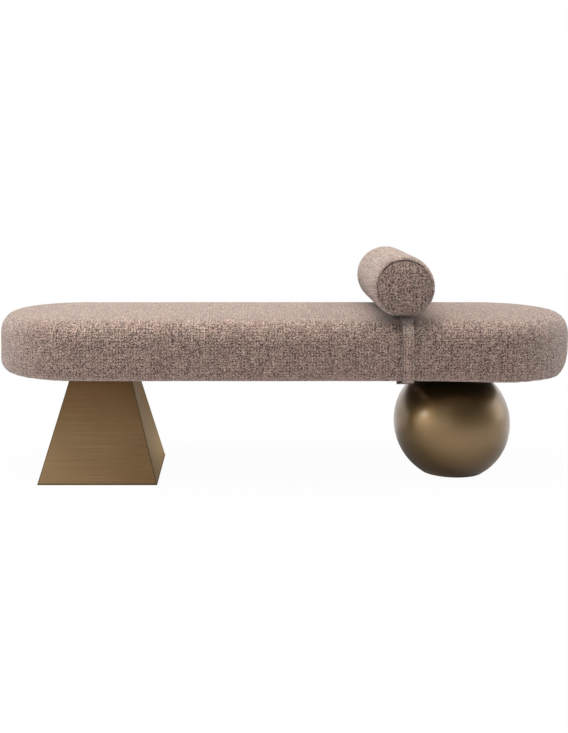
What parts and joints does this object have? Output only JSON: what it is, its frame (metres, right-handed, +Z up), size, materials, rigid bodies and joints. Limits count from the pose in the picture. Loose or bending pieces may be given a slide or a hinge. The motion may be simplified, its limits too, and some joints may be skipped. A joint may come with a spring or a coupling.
{
  "type": "upholstered bench",
  "caption": "Long upholstered bench with round ends on a truncated pyramid foot and a ball foot, with a bolster across it that a strap holds to the seat.",
  "frame": {"origin": "on the floor, under the middle of the seat", "axes": "+X along the seat towards the ball foot, +Y from the front to the back, +Z up"},
  "size_m": [1.5, 0.4654, 0.5891],
  "materials": {
    "woven_cloth": "coarse melange weave",
    "wadding": "soft fibre",
    "foam": "open-cell foam",
    "plywood": "sanded",
    "beech": "planed",
    "brushed_bronze": "brushed lengthwise, dark bronze patina",
    "satin_bronze": "satin, dark bronze patina",
    "steel_plate": "mill finish",
    "zinc_steel": "bright zinc",
    "black_plastic": "fine grain",
    "dust_cloth": "spunbonded",
    "hook_and_loop": "hook and loop pile"
  },
  "bodies": {
    "bench": {"seat_cover": "woven_cloth", "seat_wadding": "wadding", "seat_top_foam": "foam", "seat_side_foam": "foam", "base_board": "plywood", "deck": "plywood", "front_rail": "beech", "rear_rail": "beech", "left_end_rail": "beech", "right_end_rail": "beech", "cross_rib_1": "beech", "cross_rib_2": "beech", "cross_rib_3": "beech", "cross_rib_4": "beech", "cross_rib_5": "beech", "cross_rib_6": "beech", "deck_screws": "zinc_steel", "board_screws": "zinc_steel", "tee_nuts": "zinc_steel", "dust_cloth": "dust_cloth", "hem_staples": "zinc_steel", "dust_cloth_staples": "zinc_steel", "pyramid_shell": "brushed_bronze", "pyramid_top_plate": "steel_plate", "pyramid_base_plate": "steel_plate", "pyramid_closer": "black_plastic", "pyramid_glides": "black_plastic", "pyramid_bolts": "zinc_steel", "pyramid_washers": "zinc_steel", "pyramid_closer_screws": "zinc_steel", "ball_shell": "satin_bronze", "ball_top_plate": "steel_plate", "ball_base_plate": "steel_plate", "ball_closer": "black_plastic", "ball_glides": "black_plastic", "ball_bolts": "zinc_steel", "ball_washers": "zinc_steel", "ball_closer_screws": "zinc_steel"},
    "bolster": {"bolster_sleeve": "woven_cloth", "bolster_front_panel": "woven_cloth", "bolster_rear_panel": "woven_cloth", "bolster_wadding": "wadding", "bolster_core": "foam", "strap": "woven_cloth", "strap_tab": "woven_cloth", "strap_loop_tape": "hook_and_loop", "strap_hook_tape": "hook_and_loop"}
  },
  "joints": [
    {"name": "bolster_slide", "type": "slide", "parent": "bench", "child": "bolster", "axis": [1, 0, 0], "range_m": [-0.66, 0.05]}
  ]
}
